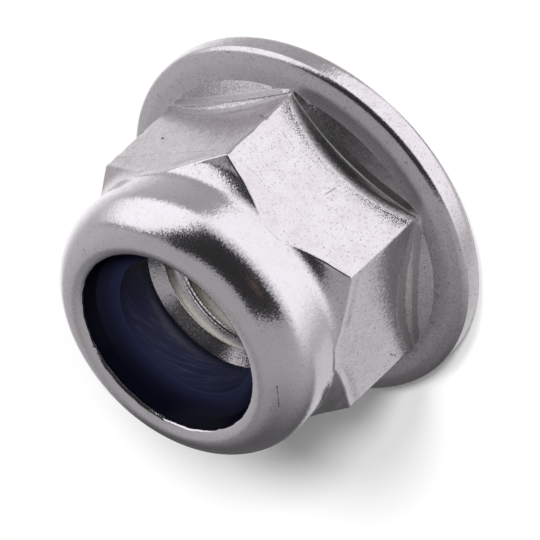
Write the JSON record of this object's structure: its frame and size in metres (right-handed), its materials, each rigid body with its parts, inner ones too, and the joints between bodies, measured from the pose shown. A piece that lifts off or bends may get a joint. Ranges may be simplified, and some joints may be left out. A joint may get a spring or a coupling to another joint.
{
  "type": "nylon insert flange nut",
  "caption": "Hex flange nut with a rounded crimped collar holding a dark blue nylon locking ring, for a metric coarse thread.",
  "frame": {"origin": "centre of the flange's flat bearing face, on the thread axis", "axes": "+Z along the thread axis from the bearing face to the collar; one corner of the hex lies on +X"},
  "size_m": [0.0174, 0.0174, 0.0111],
  "materials": {
    "steel": "satin stainless steel with a fine grain and small pits",
    "nylon": "smooth glossy dark navy nylon"
  },
  "bodies": {
    "root": {"nut_body": "steel", "nylon_ring": "nylon"}
  },
  "joints": []
}
